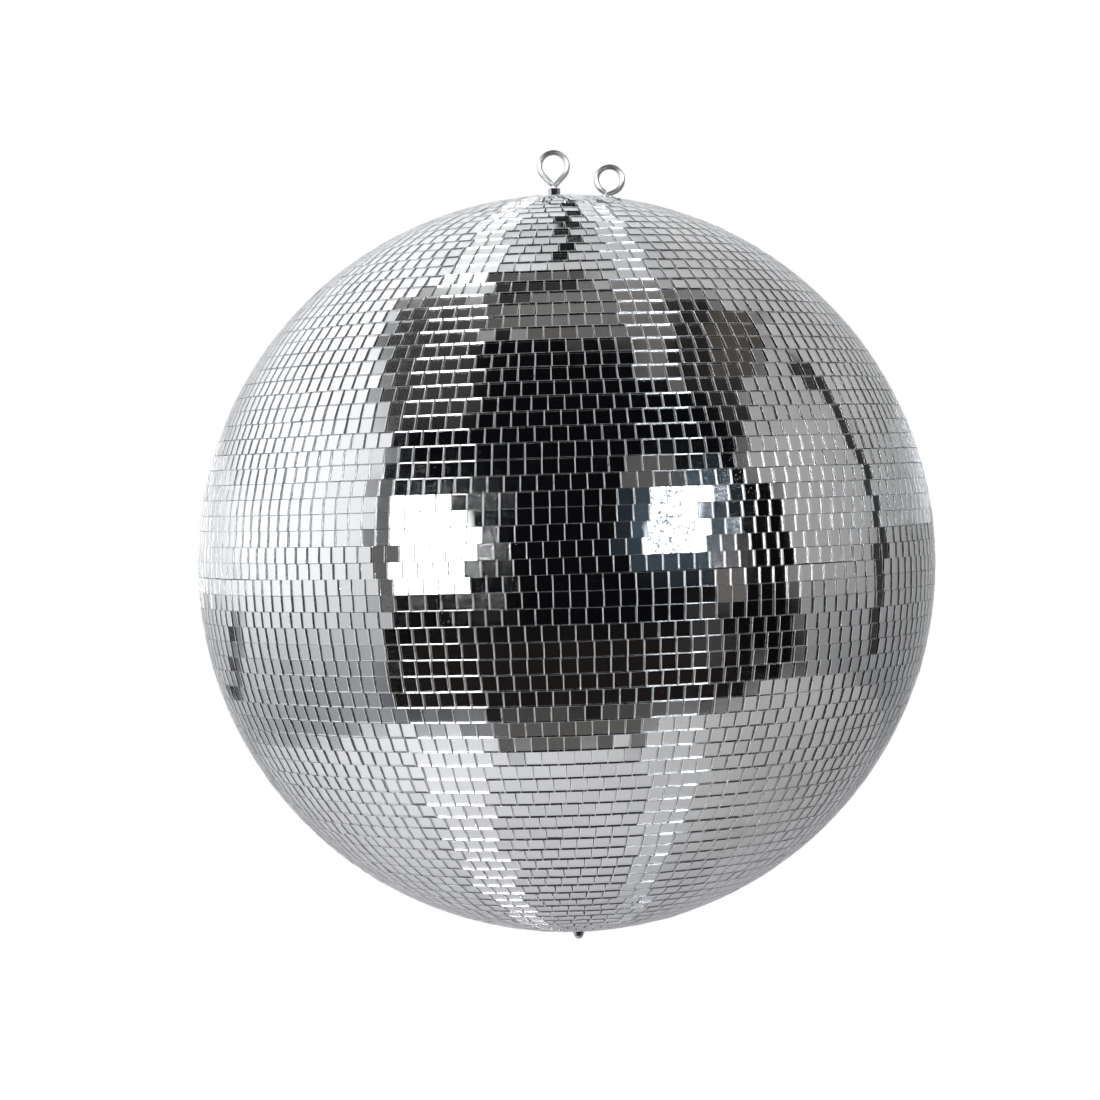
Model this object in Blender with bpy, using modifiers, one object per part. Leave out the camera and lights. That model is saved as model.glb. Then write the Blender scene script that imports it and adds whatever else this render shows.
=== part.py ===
"""Mirror ball, 500 mm across, hung on a wire eye and an axle that runs through both poles.

The ball is a hollow plastic core in two halves, spliced by a ring and clad with rows of mirror tiles.
It turns on the axle in two bushes. A second eye, bolted through a plate under the crown, takes the
safety wire. Heights called z below are measured from the ball's centre, along the axle or along the
safety eye's own axis. The world origin is where a hook bears in the main eye.
"""

import math

import bpy
from mathutils import Matrix

# Ball
BALL_RADIUS = 0.250
TILE_LAYER = 0.0018
GAP = 0.0003
CORE_WALL = 0.003
SEGMENTS = 32

# Rows of tiles, counted from the equator to each pole
ROW_PITCH = math.radians(2.35)
ROWS_PER_BAND = 3
FULL_BANDS = 12
CROWN_HOLE_RADIUS = 0.0087

# Splice ring inside the equator
JOINT_RING_HEIGHT = 0.030
JOINT_RING_WALL = 0.0025

# Bushes that carry the ball on its axle
BUSH_SLEEVE_RADIUS = 0.005
BUSH_FLANGE_RADIUS = 0.009
BUSH_FLANGE_THICKNESS = 0.0015

# Plate under the crown
PLATE_THICKNESS = 0.002

# Wire eyes
WIRE_RADIUS = 0.0018
EYE_BEND_RADIUS = 0.002
MAIN_LOOP_RADIUS = 0.0094
MAIN_LEG_ANGLE = math.radians(43.0)
MAIN_SHANK_LENGTH = 0.050
SAFETY_LOOP_RADIUS = 0.0088
SAFETY_LEG_ANGLE = math.radians(60.0)
SAFETY_SHANK_LENGTH = 0.022
SAFETY_OFFSET = 0.036
SAFETY_HOLE_RADIUS = 0.0026

# Axle and fasteners (M4 class)
ROD_RADIUS = 0.002
NUT_ACROSS_FLATS = 0.007
LOCK_NUT_HEIGHT = 0.0046
WASHER_RADIUS = 0.0075
WASHER_THICKNESS = 0.001
SPRING_WASHER_RADIUS = 0.0038
SPRING_WASHER_THICKNESS = 0.0008
SAFETY_WASHER_RADIUS = 0.006
SAFETY_WASHER_THICKNESS = 0.0008
COUPLING_LENGTH = 0.018
CAP_HEX_HEIGHT = 0.004
CAP_DOME_RADIUS = 0.0033
CAP_DOME_HEIGHT = 0.0038
CAP_BORE_DEPTH = 0.0055

# Worked out from the sizes above
BAND_ANGLE = ROW_PITCH * ROWS_PER_BAND
CORE_OUTER = BALL_RADIUS - TILE_LAYER - GAP
CORE_INNER = CORE_OUTER - CORE_WALL
CORE_HOLE_RADIUS = BUSH_SLEEVE_RADIUS + GAP
SHANK_BORE = WIRE_RADIUS + GAP
ROD_BORE = ROD_RADIUS + GAP
SAFETY_TILT = math.asin(SAFETY_OFFSET / BALL_RADIUS)

WASHER_Z = CORE_OUTER + GAP
SPRING_WASHER_Z = WASHER_Z + WASHER_THICKNESS + GAP
LOCK_NUT_Z = SPRING_WASHER_Z + SPRING_WASHER_THICKNESS + GAP
MAIN_BEND_Z = LOCK_NUT_Z + LOCK_NUT_HEIGHT + GAP
SAFETY_WASHER_Z = BALL_RADIUS + GAP
SAFETY_BEND_Z = SAFETY_WASHER_Z + SAFETY_WASHER_THICKNESS
CAP_NUT_Z = WASHER_Z + WASHER_THICKNESS + GAP


def loop_centre_z(loop_radius, leg_angle, bend_z):
    """Height of a wire loop's centre over the start of the bend that leads into its leg."""
    bend_x = EYE_BEND_RADIUS * (1.0 - math.cos(leg_angle))
    bend_top = bend_z + EYE_BEND_RADIUS * math.sin(leg_angle)
    return bend_top + (loop_radius - bend_x * math.cos(leg_angle)) / math.sin(leg_angle)


MAIN_LOOP_Z = loop_centre_z(MAIN_LOOP_RADIUS, MAIN_LEG_ANGLE, MAIN_BEND_Z)
BALL_CENTRE_Z = -(MAIN_LOOP_Z + MAIN_LOOP_RADIUS - WIRE_RADIUS)

# Colour, roughness and metallic value of each material
FINISHES = {
    "mirror_glass": ((0.86, 0.88, 0.90), 0.04, 1.0),
    "zinc_plated_steel": ((0.72, 0.73, 0.75), 0.25, 1.0),
    "bright_wire": ((0.80, 0.81, 0.83), 0.15, 1.0),
    "black_core_plastic": ((0.04, 0.04, 0.045), 0.55, 0.0),
    "white_nylon": ((0.82, 0.81, 0.76), 0.45, 0.0),
}


def clear_scene():
    for obj in list(bpy.data.objects):
        bpy.data.objects.remove(obj, do_unlink=True)


def collection(name):
    made = bpy.data.collections.new(name)
    bpy.context.scene.collection.children.link(made)
    return made


def material(node_name, finish):
    color, roughness, metallic = FINISHES[finish]
    made = bpy.data.materials.new(node_name + "_" + finish)
    made.use_nodes = True
    made.diffuse_color = (*color, 1.0)
    shader = made.node_tree.nodes["Principled BSDF"]
    shader.inputs["Base Color"].default_value = (*color, 1.0)
    shader.inputs["Roughness"].default_value = roughness
    shader.inputs["Metallic"].default_value = metallic
    return made


def add_piece(obj, finish, axis):
    """Put a finished piece in the ball's collection, on the empty that carries its axis."""
    for owner in list(obj.users_collection):
        owner.objects.unlink(obj)
    PARTS.objects.link(obj)
    obj.parent = axis
    obj.data.materials.clear()
    obj.data.materials.append(material(obj.name, finish))
    return obj


def add_axis(name, tilt, parent, height=0.0):
    """An empty on the ball's centre: pieces hang on it by their distance along its Z."""
    empty = bpy.data.objects.new(name, None)
    empty.empty_display_size = 0.02
    empty.location = (0.0, 0.0, height)
    empty.rotation_euler = (0.0, tilt, 0.0)
    empty.parent = parent
    PARTS.objects.link(empty)
    return empty


def turned(name, profile, finish, axis, segments=SEGMENTS, closed=True):
    """Spin an outline of (radius, z) points about Z; it runs down its outer side."""
    mesh = bpy.data.meshes.new(name)
    last = len(profile) - 1
    edges = [(i, i + 1) for i in range(last)]
    if closed:
        edges.append((last, 0))
    mesh.from_pydata([(radius, 0.0, z) for radius, z in profile], edges, [])
    obj = bpy.data.objects.new(name, mesh)
    screw = obj.modifiers.new("turn", "SCREW")
    screw.axis = "Z"
    screw.angle = 2.0 * math.pi
    screw.steps = segments
    screw.render_steps = segments
    screw.use_merge_vertices = True
    screw.merge_threshold = 0.00001
    screw.use_smooth_shade = True
    return add_piece(obj, finish, axis)


def ring(name, inner, outer, low, high, finish, axis, segments=24):
    """A flat ring: a washer, or a spacer, between two heights."""
    profile = [(inner, high), (outer, high), (outer, low), (inner, low)]
    return turned(name, profile, finish, axis, segments)


def arc(radius, start_lat, end_lat, lats):
    """Points of a sphere's outline from one latitude to another, with a corner at each of lats."""
    low, high = sorted((start_lat, end_lat))
    inside = [lat for lat in lats if low + 1e-6 < lat < high - 1e-6]
    stops = sorted([low, high] + inside, reverse=start_lat > end_lat)
    return [(radius * math.cos(lat), radius * math.sin(lat)) for lat in stops]


def cylinder(name, radius, low, high, sides, parent):
    """A cylinder, or a prism, between two heights, with a corner on its X axis."""
    bpy.ops.mesh.primitive_cylinder_add(vertices=sides, radius=radius, depth=high - low)
    obj = bpy.context.object
    obj.name = name
    obj.data.name = name
    place = Matrix.Translation((0.0, 0.0, (low + high) / 2.0))
    obj.data.transform(place @ Matrix.Rotation(math.pi / 2.0, 4, "Z"))
    obj.parent = parent
    return obj


def cutter(name, radius, low, high, parent, sides=24):
    """A drill: a cylinder that is only used to cut other pieces."""
    obj = cylinder(name, radius, low, high, sides, parent)
    for owner in list(obj.users_collection):
        owner.objects.unlink(obj)
    CUTTERS.objects.link(obj)
    obj.display_type = "WIRE"
    obj.hide_render = True
    return obj


def cut(obj, tool, operation="DIFFERENCE"):
    boolean = obj.modifiers.new(tool.name, "BOOLEAN")
    boolean.operation = operation
    boolean.solver = "EXACT"
    boolean.object = tool


def hex_nut(name, low, high, bore, finish, axis):
    nut = add_piece(cylinder(name, NUT_ACROSS_FLATS / math.sqrt(3.0), low, high, 6, axis), finish, axis)
    cut(nut, cutter(name + "_bore", bore, low - GAP, high + GAP, axis))
    return nut


def wire(name, points, finish, axis):
    """A round wire along points in the plane of the eye."""
    data = bpy.data.curves.new(name, "CURVE")
    data.dimensions = "3D"
    data.bevel_depth = WIRE_RADIUS
    data.bevel_resolution = 4
    data.use_fill_caps = True
    spline = data.splines.new("POLY")
    spline.points.add(len(points) - 1)
    for point, (x, z) in zip(spline.points, points):
        point.co = (x, 0.0, z, 1.0)
    return add_piece(bpy.data.objects.new(name, data), finish, axis)


def eye_points(loop_radius, leg_angle, bend_z, shank_length):
    """Centre line of a wire eye: shank, bend, right leg, loop, and left leg ending at the shank."""
    bend_steps = 4
    loop_steps = 28
    centre_z = loop_centre_z(loop_radius, leg_angle, bend_z)
    points = [(0.0, bend_z - shank_length)]
    for step in range(bend_steps + 1):
        turn = leg_angle * step / bend_steps
        points.append((EYE_BEND_RADIUS * (1.0 - math.cos(turn)), bend_z + EYE_BEND_RADIUS * math.sin(turn)))
    sweep = math.pi + 2.0 * leg_angle
    for step in range(loop_steps + 1):
        turn = sweep * step / loop_steps - leg_angle
        points.append((loop_radius * math.cos(turn), centre_z + loop_radius * math.sin(turn)))
    crossing_z = centre_z - loop_radius / math.sin(leg_angle)
    end = WIRE_RADIUS * (1.0 + abs(math.cos(2.0 * leg_angle))) + 1.5 * GAP
    end = end / math.sin(2.0 * leg_angle)
    points.append((-end * math.sin(leg_angle), crossing_z + end * math.cos(leg_angle)))
    return points


def make_tile_bands(axis):
    """Rings of tiles: three rows each, and a crown of one row and its cut tiles at each pole."""
    outer = BALL_RADIUS
    inner = BALL_RADIUS - TILE_LAYER
    crown_lat = math.acos(CROWN_HOLE_RADIUS / BALL_RADIUS)
    for side, sign in (("upper", 1.0), ("lower", -1.0)):
        for band in range(FULL_BANDS + 1):
            near = band * BAND_ANGLE
            far = crown_lat if band == FULL_BANDS else near + BAND_ANGLE
            trim = GAP / (2.0 * BALL_RADIUS)
            top, bottom = sorted((sign * (near + trim), sign * (far - trim)), reverse=True)
            profile = [
                (inner * math.cos(top), inner * math.sin(top)),
                (outer * math.cos(top), outer * math.sin(top)),
                (outer * math.cos(bottom), outer * math.sin(bottom)),
                (inner * math.cos(bottom), inner * math.sin(bottom)),
            ]
            turned(f"mirror_tiles_{side}_{band + 1:02d}", profile, "mirror_glass", axis)


def make_core(axis):
    """Two hollow half shells that meet at the equator, with a hole for a bush at each pole."""
    band_lats = [band * BAND_ANGLE for band in range(1, FULL_BANDS + 1)]
    inner_lats = [lat for band, lat in enumerate(band_lats, 1) if band % 2 == 0 or band == FULL_BANDS - 1]
    inner_lats.append(math.asin(JOINT_RING_HEIGHT / 2.0 / CORE_INNER))
    outer_pole = math.acos(CORE_HOLE_RADIUS / CORE_OUTER)
    inner_pole = math.acos(CORE_HOLE_RADIUS / CORE_INNER)
    rim = GAP / (2.0 * CORE_OUTER)
    outside = arc(CORE_OUTER, outer_pole, rim, band_lats)
    inside = arc(CORE_INNER, rim, inner_pole, inner_lats)
    upper = outside + inside
    lower = [(radius, -z) for radius, z in reversed(upper)]
    core = turned("upper_core", upper, "black_core_plastic", axis)
    turned("lower_core", lower, "black_core_plastic", axis)
    return core


def make_joint_ring(axis):
    half = JOINT_RING_HEIGHT / 2.0
    outer = math.sqrt(CORE_INNER ** 2 - half ** 2) - GAP
    ring("joint_ring", outer - JOINT_RING_WALL, outer, -half, half, "black_core_plastic", axis, SEGMENTS)


def make_bush(name, axis, sign, bore, flange_z):
    """A flanged sleeve in the core's polar hole, with its flange on the inside."""
    end = CORE_OUTER - GAP
    back = flange_z - BUSH_FLANGE_THICKNESS
    profile = [
        (bore, end),
        (BUSH_SLEEVE_RADIUS, end),
        (BUSH_SLEEVE_RADIUS, flange_z),
        (BUSH_FLANGE_RADIUS, flange_z),
        (BUSH_FLANGE_RADIUS, back),
        (bore, back),
    ]
    if sign < 0.0:
        profile = [(radius, -z) for radius, z in reversed(profile)]
    turned(name, profile, "white_nylon", axis, 24)


def make_plate(axis):
    """Dished disc close under the crown, out to the eleventh band's upper edge."""
    outer = CORE_INNER - GAP
    inner = outer - PLATE_THICKNESS
    edge_lat = (FULL_BANDS - 1) * BAND_ANGLE
    lats = [FULL_BANDS * BAND_ANGLE]
    outside = arc(outer, math.acos(CORE_HOLE_RADIUS / outer), edge_lat, lats)
    inside = arc(inner, edge_lat, math.acos(CORE_HOLE_RADIUS / inner), lats)
    return turned("reinforcement_plate", outside + inside, "zinc_plated_steel", axis)


def make_axle(axis):
    """Main eye, nut, washers, coupling, rod and cap nut: everything that stays still as the ball turns."""
    points = eye_points(MAIN_LOOP_RADIUS, MAIN_LEG_ANGLE, MAIN_BEND_Z, MAIN_SHANK_LENGTH)
    wire("main_eye", points, "bright_wire", axis)
    hex_nut("eye_lock_nut", LOCK_NUT_Z, LOCK_NUT_Z + LOCK_NUT_HEIGHT, SHANK_BORE, "zinc_plated_steel", axis)
    ring("eye_spring_washer", SHANK_BORE, SPRING_WASHER_RADIUS, SPRING_WASHER_Z,
         SPRING_WASHER_Z + SPRING_WASHER_THICKNESS, "zinc_plated_steel", axis)
    ring("eye_washer", SHANK_BORE, WASHER_RADIUS, WASHER_Z, WASHER_Z + WASHER_THICKNESS,
         "zinc_plated_steel", axis)
    shank_end = MAIN_BEND_Z - MAIN_SHANK_LENGTH
    coupling_low = shank_end - COUPLING_LENGTH / 2.0
    hex_nut("rod_coupling_nut", coupling_low, coupling_low + COUPLING_LENGTH, ROD_BORE,
            "zinc_plated_steel", axis)
    cap_bore_end = CAP_NUT_Z + CAP_BORE_DEPTH
    rod = cylinder("axle_rod", ROD_RADIUS, GAP - cap_bore_end, shank_end - GAP, 12, axis)
    add_piece(rod, "zinc_plated_steel", axis)
    ring("cap_nut_washer", ROD_BORE, WASHER_RADIUS, -WASHER_Z - WASHER_THICKNESS, -WASHER_Z,
         "zinc_plated_steel", axis)
    make_cap_nut(axis, cap_bore_end)


def make_cap_nut(axis, bore_end):
    """Hexagon with a dome under it, and a blind bore for the rod."""
    hex_end = CAP_NUT_Z + CAP_HEX_HEIGHT
    radius = NUT_ACROSS_FLATS / math.sqrt(3.0)
    nut = add_piece(cylinder("cap_nut", radius, -hex_end, -CAP_NUT_Z, 6, axis), "zinc_plated_steel", axis)
    root = CAP_HEX_HEIGHT / 2.0
    steps = 6
    profile = [(0.0, root - hex_end), (CAP_DOME_RADIUS, root - hex_end)]
    for step in range(steps):
        turn = math.pi / 2.0 * step / steps
        profile.append((CAP_DOME_RADIUS * math.cos(turn), -hex_end - CAP_DOME_HEIGHT * math.sin(turn)))
    profile.append((0.0, -hex_end - CAP_DOME_HEIGHT))
    dome = turned("cap_nut_dome", profile, "zinc_plated_steel", axis, 24, closed=False)
    PARTS.objects.unlink(dome)
    CUTTERS.objects.link(dome)
    dome.display_type = "WIRE"
    dome.hide_render = True
    cut(nut, dome, "UNION")
    cut(nut, cutter("cap_nut_bore", ROD_BORE, -bore_end, GAP - CAP_NUT_Z, axis))


def make_safety_eye(axis, drilled):
    """Second eye, square to the surface, bolted through the tiles, the core and the plate."""
    points = eye_points(SAFETY_LOOP_RADIUS, SAFETY_LEG_ANGLE, SAFETY_BEND_Z, SAFETY_SHANK_LENGTH)
    wire("safety_eye", points, "bright_wire", axis)
    ring("safety_eye_washer", SHANK_BORE, SAFETY_WASHER_RADIUS, SAFETY_WASHER_Z,
         SAFETY_WASHER_Z + SAFETY_WASHER_THICKNESS, "zinc_plated_steel", axis)
    plate_inner = CORE_INNER - GAP - PLATE_THICKNESS
    chord = plate_inner * (1.0 - math.cos(BAND_ANGLE / 2.0))
    inner_washer_top = plate_inner - chord - GAP
    inner_washer_low = inner_washer_top - WASHER_THICKNESS
    ring("safety_inner_washer", SHANK_BORE, SAFETY_WASHER_RADIUS, inner_washer_low, inner_washer_top,
         "zinc_plated_steel", axis)
    nut_top = inner_washer_low - GAP
    hex_nut("safety_lock_nut", nut_top - LOCK_NUT_HEIGHT, nut_top, SHANK_BORE, "zinc_plated_steel", axis)
    drill = cutter("safety_eye_drill", SAFETY_HOLE_RADIUS, inner_washer_low, BALL_RADIUS + GAP, axis)
    for piece in drilled:
        cut(piece, drill)


def main():
    ball_axis = add_axis("ball_axis", 0.0, None, BALL_CENTRE_Z)
    safety_axis = add_axis("safety_axis", SAFETY_TILT, ball_axis)
    make_axle(ball_axis)
    core = make_core(ball_axis)
    make_joint_ring(ball_axis)
    plate = make_plate(ball_axis)
    plate_inner = CORE_INNER - GAP - PLATE_THICKNESS
    make_bush("top_bush", ball_axis, 1.0, SHANK_BORE, plate_inner - 2.0 * GAP)
    make_bush("bottom_bush", ball_axis, -1.0, ROD_BORE, CORE_INNER - 2.0 * GAP)
    make_tile_bands(ball_axis)
    drilled_band = bpy.data.objects[f"mirror_tiles_upper_{FULL_BANDS:02d}"]
    make_safety_eye(safety_axis, [core, plate, drilled_band])


clear_scene()
PARTS = collection("mirror_ball")
CUTTERS = collection("cutters")
main()
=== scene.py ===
"""Looks of the mirror ball: thousands of separate glass tiles on a plastic core, two wire eyes and hardware.

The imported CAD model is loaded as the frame. Its smooth tile rings, core, eyes and outer hardware are replaced
by finished pieces in the same places. What stays hidden inside keeps its CAD shape with a better material.
"""

import math

import bpy
import numpy as np
from mathutils import Matrix, Vector


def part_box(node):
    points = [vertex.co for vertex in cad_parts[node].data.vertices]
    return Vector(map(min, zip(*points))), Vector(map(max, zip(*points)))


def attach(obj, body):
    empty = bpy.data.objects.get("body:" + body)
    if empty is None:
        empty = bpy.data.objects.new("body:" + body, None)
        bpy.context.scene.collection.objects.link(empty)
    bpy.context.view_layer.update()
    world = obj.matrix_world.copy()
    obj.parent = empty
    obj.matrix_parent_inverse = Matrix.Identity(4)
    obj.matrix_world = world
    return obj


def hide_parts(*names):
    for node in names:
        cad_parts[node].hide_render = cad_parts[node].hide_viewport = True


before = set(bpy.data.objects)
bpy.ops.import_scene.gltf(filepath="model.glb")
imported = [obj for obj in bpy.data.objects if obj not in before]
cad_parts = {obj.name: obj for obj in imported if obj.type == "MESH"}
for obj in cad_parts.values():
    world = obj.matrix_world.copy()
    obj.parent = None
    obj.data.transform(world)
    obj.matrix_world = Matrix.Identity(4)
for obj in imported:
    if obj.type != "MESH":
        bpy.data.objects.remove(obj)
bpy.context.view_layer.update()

SEED = 11

# ----------------------------------------------------------------------------------------------------
# Places read from the frame, in metres

equator_low, equator_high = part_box("mirror_tiles_upper_01")
BALL_RADIUS = (equator_high.x - equator_low.x) / 2.0
CENTRE_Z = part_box("mirror_tiles_lower_01")[1].z + (equator_low.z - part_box("mirror_tiles_lower_01")[1].z) / 2.0
BALL_CENTRE = Vector((0.0, 0.0, CENTRE_Z))
eye_low, eye_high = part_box("main_eye")
safety_low, safety_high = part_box("safety_eye")
nut_low, nut_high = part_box("eye_lock_nut")
spring_low, spring_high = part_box("eye_spring_washer")
washer_low, washer_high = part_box("eye_washer")
cap_low, cap_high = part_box("cap_nut")
cap_washer_low, cap_washer_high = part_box("cap_nut_washer")

# Tiles
ROW_PITCH = math.radians(2.35)
ROWS_PER_BAND = 3
FULL_BANDS = 12
ROWS = ROWS_PER_BAND * FULL_BANDS + 1
TILE = 0.0100
TILE_THICKNESS = 0.0018
MEAN_GAP = 0.00017
TIGHTEST_PITCH = TILE + MEAN_GAP * 0.8
SMALLEST_CLOSING_TILE = 0.0035
ARRIS_ACROSS = 0.00018
ARRIS_ALONG = 0.000025
ARRIS_DEPTH = 0.00012
SIDE_CURVE = 0.19
HAZE_TILT = 0.082
HAZE_SHARE = 0.085
FACE_RADIUS = BALL_RADIUS - 0.00005
CROWN_HOLE_RADIUS = 0.0087
CROWN_TILES = 8
CROWN_GAP = 2.5 * MEAN_GAP

# How unevenly the tiles are glued on, as normal spreads unless the name says otherwise
WIDTH_SPREAD = 0.006
LARGEST_WIDTH_LOSS = 0.015
ROW_TILT = math.radians(0.22)
ROW_LEAN = math.radians(0.20)
ROW_DRIFT = 0.00022
ROW_RIPPLE = 0.00003
TILE_TILT = math.radians(0.46)
LOOSE_TILE_TILT = math.radians(1.45)
LOOSE_TILE_SHARE = 0.045
TILE_SPIN = math.radians(0.38)
TILE_SHIFT = 0.000025
TILE_RISE = 0.00006
LARGEST_RISE = 0.00015
ROW_START_SPREAD = 0.001
ALIGNED_ROW_SHARE = 0.45

# Tile materials
FILM_WEIGHT = 0.14
SCRATCH_GRAIN = 40000.0
RIB_GRAIN = 30000.0

# Core
CORE_OUTER = BALL_RADIUS - 0.00245
CORE_INNER = BALL_RADIUS - 0.0051
CORE_HOLE_RADIUS = 0.0053
CORE_SEAM = 0.00015
CORE_STEPS = 56
CORE_SEGMENTS = 144

# Eyes
WIRE_RADIUS = 0.0018
EYE_BEND_RADIUS = 0.0020
MAIN_LOOP_RADIUS = 0.0094
MAIN_LEG_ANGLE = math.radians(43.0)
SAFETY_LOOP_RADIUS = 0.0088
SAFETY_LEG_ANGLE = math.radians(60.0)
SAFETY_OFFSET = 0.036
SAFETY_TILT = math.asin(SAFETY_OFFSET / BALL_RADIUS)
SAFETY_SHANK_LENGTH = 0.022
THREAD_PITCH = 0.0007
THREAD_DEPTH = 0.00016
WIRE_SIDES = 28

# Nuts and washers
PIECE_GAP = 0.0003
HEX_ACROSS_FLATS = 0.007
HEX_CHAMFER_SLOPE = math.tan(math.radians(30.0))
HEX_SEGMENTS = 96
NUT_BORE = 0.0019
COUNTERSINK = 0.0004
WASHER_RADIUS = 0.0075
WASHER_EASE = 0.00016
EYE_WASHER_BORE = 0.0022
CAP_WASHER_BORE = 0.0023
SAFETY_WASHER_BORE = 0.0021
SAFETY_WASHER_RADIUS = 0.0060
SAFETY_WASHER_TOP = 0.0011
SPRING_BORE = 0.0022
SPRING_RADIUS = 0.0038
SPRING_STEPS = 90
SPRING_MOUTH = math.radians(9.0)
SPRING_RISE = 0.12
CAP_HEX_HEIGHT = 0.0040
CAP_CHAMFER_RADIUS = 0.00345
CAP_BORE = 0.0021
CAP_BORE_DEPTH = 0.0050
CAP_DRILL_DEPTH = 0.0055
DOME_RADIUS = 0.0033
DOME_STEP = 0.0001
DOME_RINGS = 13

# Camera, matched to the photograph: nearly level, a long lens, rolled a little so that the axle leans left
CAMERA_DISTANCE = 8.77 * BALL_RADIUS
CAMERA_ELEVATION = math.radians(1.58)
CAMERA_ROLL = math.radians(1.9)
CAMERA_LENS = 105.15
SENSOR_WIDTH = 36.0
AIM_RIGHT = -0.01125
AIM_UP = 0.00887

# Floor
FLOOR_DROP = 2.70
FLOOR_RADIUS = 3.2
FLOOR_RINGS = 6
FLOOR_SEGMENTS = 96


# ----------------------------------------------------------------------------------------------------
# Camera

def make_camera():
    back = Vector((0.0, -math.cos(CAMERA_ELEVATION), math.sin(CAMERA_ELEVATION)))
    location = BALL_CENTRE + back * CAMERA_DISTANCE
    up = Vector((math.sin(CAMERA_ROLL), 0.0, math.cos(CAMERA_ROLL)))

    def axes(forward):
        right = forward.cross(up).normalized()
        return right, right.cross(forward)

    right, above = axes(-back)
    aim = BALL_CENTRE + right * AIM_RIGHT + above * AIM_UP
    forward = (aim - location).normalized()
    right, above = axes(forward)
    data = bpy.data.cameras.new("camera")
    data.lens = CAMERA_LENS
    data.sensor_width = SENSOR_WIDTH
    data.clip_start = 0.05
    data.clip_end = 50.0
    camera = bpy.data.objects.new("camera", data)
    bpy.context.scene.collection.objects.link(camera)
    basis = Matrix((right, above, -forward)).transposed().to_4x4()
    camera.matrix_world = Matrix.Translation(location) @ basis
    bpy.context.scene.camera = camera


# ----------------------------------------------------------------------------------------------------
# Node graphs

class Graph:
    """A small helper that adds nodes to a node tree and joins them."""

    def __init__(self, tree):
        self.tree = tree
        self.nodes = tree.nodes
        self.links = tree.links
        self.nodes.clear()

    def add(self, kind, settings=None, **inputs):
        node = self.nodes.new(kind)
        for key, value in (settings or {}).items():
            setattr(node, key, value)
        for key, value in inputs.items():
            self.put(node, key.replace("_", " "), value)
        return node

    def put(self, node, key, value):
        socket = node.inputs[int(key) if key.isdigit() else key]
        if isinstance(value, bpy.types.NodeSocket):
            self.links.new(value, socket)
        else:
            socket.default_value = value

    def math(self, operation, a, b=None, clamp=False):
        node = self.nodes.new("ShaderNodeMath")
        node.operation = operation
        node.use_clamp = clamp
        for index, value in enumerate((a, b)):
            if value is not None:
                self.put(node, str(index), value)
        return node.outputs[0]

    def vector(self, operation, a, b=None, scale=None):
        node = self.nodes.new("ShaderNodeVectorMath")
        node.operation = operation
        self.put(node, "0", a)
        if b is not None:
            self.put(node, "1", b)
        if scale is not None:
            self.put(node, "Scale", scale)
        return node.outputs[1 if operation in ("DOT_PRODUCT", "LENGTH") else 0]

    def mix(self, factor, a, b):
        node = self.nodes.new("ShaderNodeMix")
        node.data_type = "RGBA"
        self.put(node, "0", factor)
        self.put(node, "6", a)
        self.put(node, "7", b)
        return node.outputs[2]

    def ramp(self, factor, stops):
        node = self.nodes.new("ShaderNodeValToRGB")
        node.color_ramp.interpolation = "LINEAR"
        elements = node.color_ramp.elements
        elements[0].position, elements[0].color = stops[0][0], as_colour(stops[0][1])
        elements[1].position, elements[1].color = stops[-1][0], as_colour(stops[-1][1])
        for position, colour in stops[1:-1]:
            element = elements.new(position)
            element.color = as_colour(colour)
        self.put(node, "Fac", factor)
        return node.outputs[0]

    def remap(self, value, low, high, to_low=0.0, to_high=1.0):
        node = self.nodes.new("ShaderNodeMapRange")
        node.interpolation_type = "SMOOTHSTEP"
        for index, item in enumerate((value, low, high, to_low, to_high)):
            self.put(node, str(index), item)
        return node.outputs[0]

    def noise(self, vector, scale, detail=2.0, roughness=0.5, distortion=0.0):
        node = self.nodes.new("ShaderNodeTexNoise")
        self.put(node, "Vector", vector)
        self.put(node, "Scale", scale)
        self.put(node, "Detail", detail)
        self.put(node, "Roughness", roughness)
        self.put(node, "Distortion", distortion)
        return node.outputs[0]

    def attribute(self, name):
        return self.add("ShaderNodeAttribute", {"attribute_name": name}).outputs["Fac"]

    def bump(self, height, distance, strength):
        return self.add("ShaderNodeBump", Height=height, Distance=distance, Strength=strength).outputs[0]

    def white_noise(self, vector, scale):
        """A new random value and colour for every grain of 1 / scale metres."""
        return self.add("ShaderNodeTexWhiteNoise", {"noise_dimensions": "3D"},
                        Vector=self.vector("SCALE", vector, scale=scale)).outputs


def as_colour(value):
    if isinstance(value, (int, float)):
        return (value, value, value, 1.0)
    return (*value, 1.0) if len(value) == 3 else value


# ----------------------------------------------------------------------------------------------------
# Studio surroundings
#
# A mirror shows what stands around it, so the soft light is a studio written as directions: white cloths to
# the left, grey ones to the right, a pale floor, and a dark room in front with a soft box and a diode lamp.
# Azimuth 0 is the front. Patches are placed where a polished ball shows them from the front: x to the right
# and z up, 1 at its rim. These values were listed and tuned until the ball looked like the
# photograph's, so they hold its room and not only its lamps.

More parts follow.
